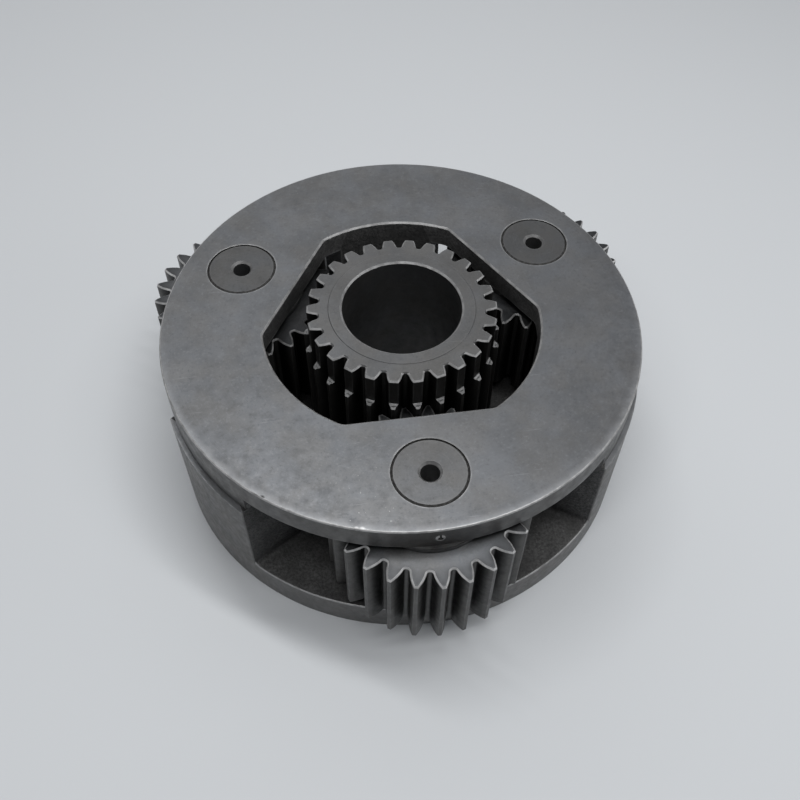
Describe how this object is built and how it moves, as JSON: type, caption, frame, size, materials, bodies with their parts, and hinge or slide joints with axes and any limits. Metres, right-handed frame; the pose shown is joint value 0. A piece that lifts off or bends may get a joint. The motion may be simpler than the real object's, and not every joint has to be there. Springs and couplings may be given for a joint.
{
  "type": "planetary gear set",
  "caption": "Planetary reduction stage: cast carrier with planet gears on needle rollers around a hollow sun gear, ready to drop into a ring gear.",
  "frame": {"origin": "on the carrier's axis in its flat bottom face", "axes": "+Z along the axis towards the sun gear's free end; planet 1 lies on -Y"},
  "size_m": [0.2845, 0.2935, 0.1146],
  "materials": {
    "carrier_casting": "phosphated cast steel with turned faces, oiled",
    "sun_steel": "case-hardened steel, dark oiled",
    "planet_steel": "case-hardened steel, dark oiled",
    "pin_steel": "ground and phosphated steel",
    "retainer_steel": "spring steel",
    "roller_steel": "ground bearing steel",
    "washer_steel": "hardened steel"
  },
  "bodies": {
    "root": {"carrier": "carrier_casting", "sun_thrust_ring": "washer_steel", "planet_pin_1": "pin_steel", "pin_retainer_1": "retainer_steel", "lower_thrust_washer_1": "washer_steel", "upper_thrust_washer_1": "washer_steel", "planet_pin_2": "pin_steel", "pin_retainer_2": "retainer_steel", "lower_thrust_washer_2": "washer_steel", "upper_thrust_washer_2": "washer_steel", "planet_pin_3": "pin_steel", "pin_retainer_3": "retainer_steel", "lower_thrust_washer_3": "washer_steel", "upper_thrust_washer_3": "washer_steel"},
    "sun": {"sun_gear": "sun_steel"},
    "planet_1": {"planet_gear_1": "planet_steel"},
    "rollers_1": {"lower_rollers_1": "roller_steel", "roller_spacer_1": "washer_steel", "upper_rollers_1": "roller_steel"},
    "planet_2": {"planet_gear_2": "planet_steel"},
    "rollers_2": {"lower_rollers_2": "roller_steel", "roller_spacer_2": "washer_steel", "upper_rollers_2": "roller_steel"},
    "planet_3": {"planet_gear_3": "planet_steel"},
    "rollers_3": {"lower_rollers_3": "roller_steel", "roller_spacer_3": "washer_steel", "upper_rollers_3": "roller_steel"}
  },
  "joints": [
    {"name": "sun_spin", "type": "hinge", "parent": "root", "child": "sun", "pos_m": [0, 0, 0.07], "axis": [0, 0, 1], "continuous": true},
    {"name": "planet_1_spin", "type": "hinge", "parent": "root", "child": "planet_1", "pos_m": [0, -0.102, 0.0565], "axis": [0, 0, 1], "continuous": true},
    {"name": "rollers_1_spin", "type": "hinge", "parent": "root", "child": "rollers_1", "pos_m": [0, -0.102, 0.0565], "axis": [0, 0, 1], "continuous": true},
    {"name": "planet_2_spin", "type": "hinge", "parent": "root", "child": "planet_2", "pos_m": [0.08833, 0.051, 0.0565], "axis": [0, 0, 1], "continuous": true},
    {"name": "rollers_2_spin", "type": "hinge", "parent": "root", "child": "rollers_2", "pos_m": [0.08833, 0.051, 0.0565], "axis": [0, 0, 1], "continuous": true},
    {"name": "planet_3_spin", "type": "hinge", "parent": "root", "child": "planet_3", "pos_m": [-0.08833, 0.051, 0.0565], "axis": [0, 0, 1], "continuous": true},
    {"name": "rollers_3_spin", "type": "hinge", "parent": "root", "child": "rollers_3", "pos_m": [-0.08833, 0.051, 0.0565], "axis": [0, 0, 1], "continuous": true}
  ],
  "couplings": [
    {"joint": "planet_1_spin", "follows": "sun_spin", "ratio": -1.04},
    {"joint": "rollers_1_spin", "follows": "sun_spin", "ratio": -0.5775},
    {"joint": "planet_2_spin", "follows": "sun_spin", "ratio": -1.04},
    {"joint": "rollers_2_spin", "follows": "sun_spin", "ratio": -0.5775},
    {"joint": "planet_3_spin", "follows": "sun_spin", "ratio": -1.04},
    {"joint": "rollers_3_spin", "follows": "sun_spin", "ratio": -0.5775}
  ]
}
